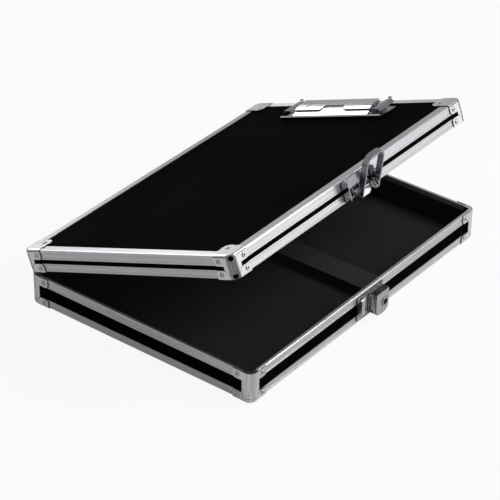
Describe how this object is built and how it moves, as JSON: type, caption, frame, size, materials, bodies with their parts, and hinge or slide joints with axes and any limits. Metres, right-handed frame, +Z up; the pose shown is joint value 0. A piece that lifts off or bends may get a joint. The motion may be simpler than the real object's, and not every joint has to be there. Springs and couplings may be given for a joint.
{
  "type": "lockable storage clipboard",
  "caption": "Shallow hinged case with metal-edged dark panels; its lid is a writing board with a spring clip, and a loop latch with a key lock holds it shut.",
  "frame": {"origin": "centre of the underside, on the plane that the case stands on, with the lid standing open", "axes": "+Z up, +X along the long side towards the end with the clip, +Y from the latch side to the hinge side"},
  "size_m": [0.3334, 0.2594, 0.16],
  "materials": {
    "black_laminate": "smooth black laminate",
    "trim_aluminium": "satin anodised extrusion",
    "cap_steel": "pressed and nickel plated",
    "rivet_steel": "bright hollow rivets",
    "lining": "matte black liner",
    "elastic": "woven elastic",
    "cylinder_steel": "dark satin key cylinder",
    "plain_steel": "zinc plated",
    "chrome": "polished chrome plate"
  },
  "bodies": {
    "base": {"base_floor_panel": "black_laminate", "base_wall_front": "black_laminate", "base_wall_right": "black_laminate", "base_wall_back": "black_laminate", "base_wall_left": "black_laminate", "base_rim_trim_front": "trim_aluminium", "base_rim_trim_right": "trim_aluminium", "base_rim_trim_back": "trim_aluminium", "base_rim_trim_left": "trim_aluminium", "base_edge_trim_front": "trim_aluminium", "base_edge_trim_right": "trim_aluminium", "base_edge_trim_back": "trim_aluminium", "base_edge_trim_left": "trim_aluminium", "base_rim_caps": "cap_steel", "foot_cap_front_left": "cap_steel", "foot_cap_front_right": "cap_steel", "foot_cap_back_right": "cap_steel", "foot_cap_back_left": "cap_steel", "base_lining": "lining", "elastic_strap": "elastic", "strap_rivets": "rivet_steel", "base_rivets": "rivet_steel", "lock_body": "chrome", "hinge_leaf_base": "plain_steel", "hinge_pin": "plain_steel"},
    "lid": {"lid_board": "black_laminate", "lid_wall_front": "black_laminate", "lid_wall_right": "black_laminate", "lid_wall_back": "black_laminate", "lid_wall_left": "black_laminate", "lid_rim_trim_front": "trim_aluminium", "lid_rim_trim_right": "trim_aluminium", "lid_rim_trim_back": "trim_aluminium", "lid_rim_trim_left": "trim_aluminium", "lid_edge_trim_front": "trim_aluminium", "lid_edge_trim_right": "trim_aluminium", "lid_edge_trim_back": "trim_aluminium", "lid_edge_trim_left": "trim_aluminium", "lid_rim_caps": "cap_steel", "lid_corner_cap_front_left": "cap_steel", "lid_corner_cap_front_right": "cap_steel", "lid_corner_cap_back_right": "cap_steel", "lid_corner_cap_back_left": "cap_steel", "lid_lining": "lining", "lid_rivets": "rivet_steel", "hinge_leaf_lid": "plain_steel", "latch_bracket": "chrome", "clip_base": "chrome", "clip_pin": "plain_steel", "clip_spring": "plain_steel", "clip_rivets": "rivet_steel"},
    "lever": {"latch_lever": "chrome", "latch_lever_pin": "plain_steel", "latch_loop_pins": "plain_steel"},
    "loop": {"latch_loop": "chrome"},
    "lock_plug": {"lock_cylinder": "cylinder_steel"},
    "bolt": {"lock_bolt": "plain_steel"},
    "jaw": {"clip_jaw": "chrome"}
  },
  "joints": [
    {"name": "lid_hinge", "type": "hinge", "parent": "base", "child": "lid", "pos_m": [0, 0.1231, 0.0302], "axis": [-1, 0, 0], "range_deg": [-20.8, 154.2]},
    {"name": "latch_lever", "type": "hinge", "parent": "lid", "child": "lever", "pos_m": [0.007, -0.10771, 0.12408], "axis": [-1, 0, 0], "range_deg": [0, 176]},
    {"name": "loop_swing", "type": "hinge", "parent": "lever", "child": "loop", "pos_m": [0.007, -0.11037, 0.12069], "axis": [-1, 0, 0], "range_deg": [-330, 0]},
    {"name": "key_turn", "type": "hinge", "parent": "base", "child": "lock_plug", "pos_m": [0.0105, -0.1305, 0.0145], "axis": [0, 1, 0], "range_deg": [0, 90.2]},
    {"name": "bolt_slide", "type": "slide", "parent": "base", "child": "bolt", "axis": [-1, 0, 0], "range_m": [0, 0.0053]},
    {"name": "clip_jaw_hinge", "type": "hinge", "parent": "lid", "child": "jaw", "pos_m": [0.14, 0.01672, 0.09682], "axis": [0, 0.9348, -0.3551], "range_deg": [0, 25], "stiffness_Nm_per_rad": 0.3, "springref_deg": -20.05}
  ],
  "couplings": [
    {"joint": "loop_swing", "follows": "latch_lever", "ratio": -1.8693},
    {"joint": "key_turn", "follows": "bolt_slide", "rad_per_m": 296.38}
  ]
}
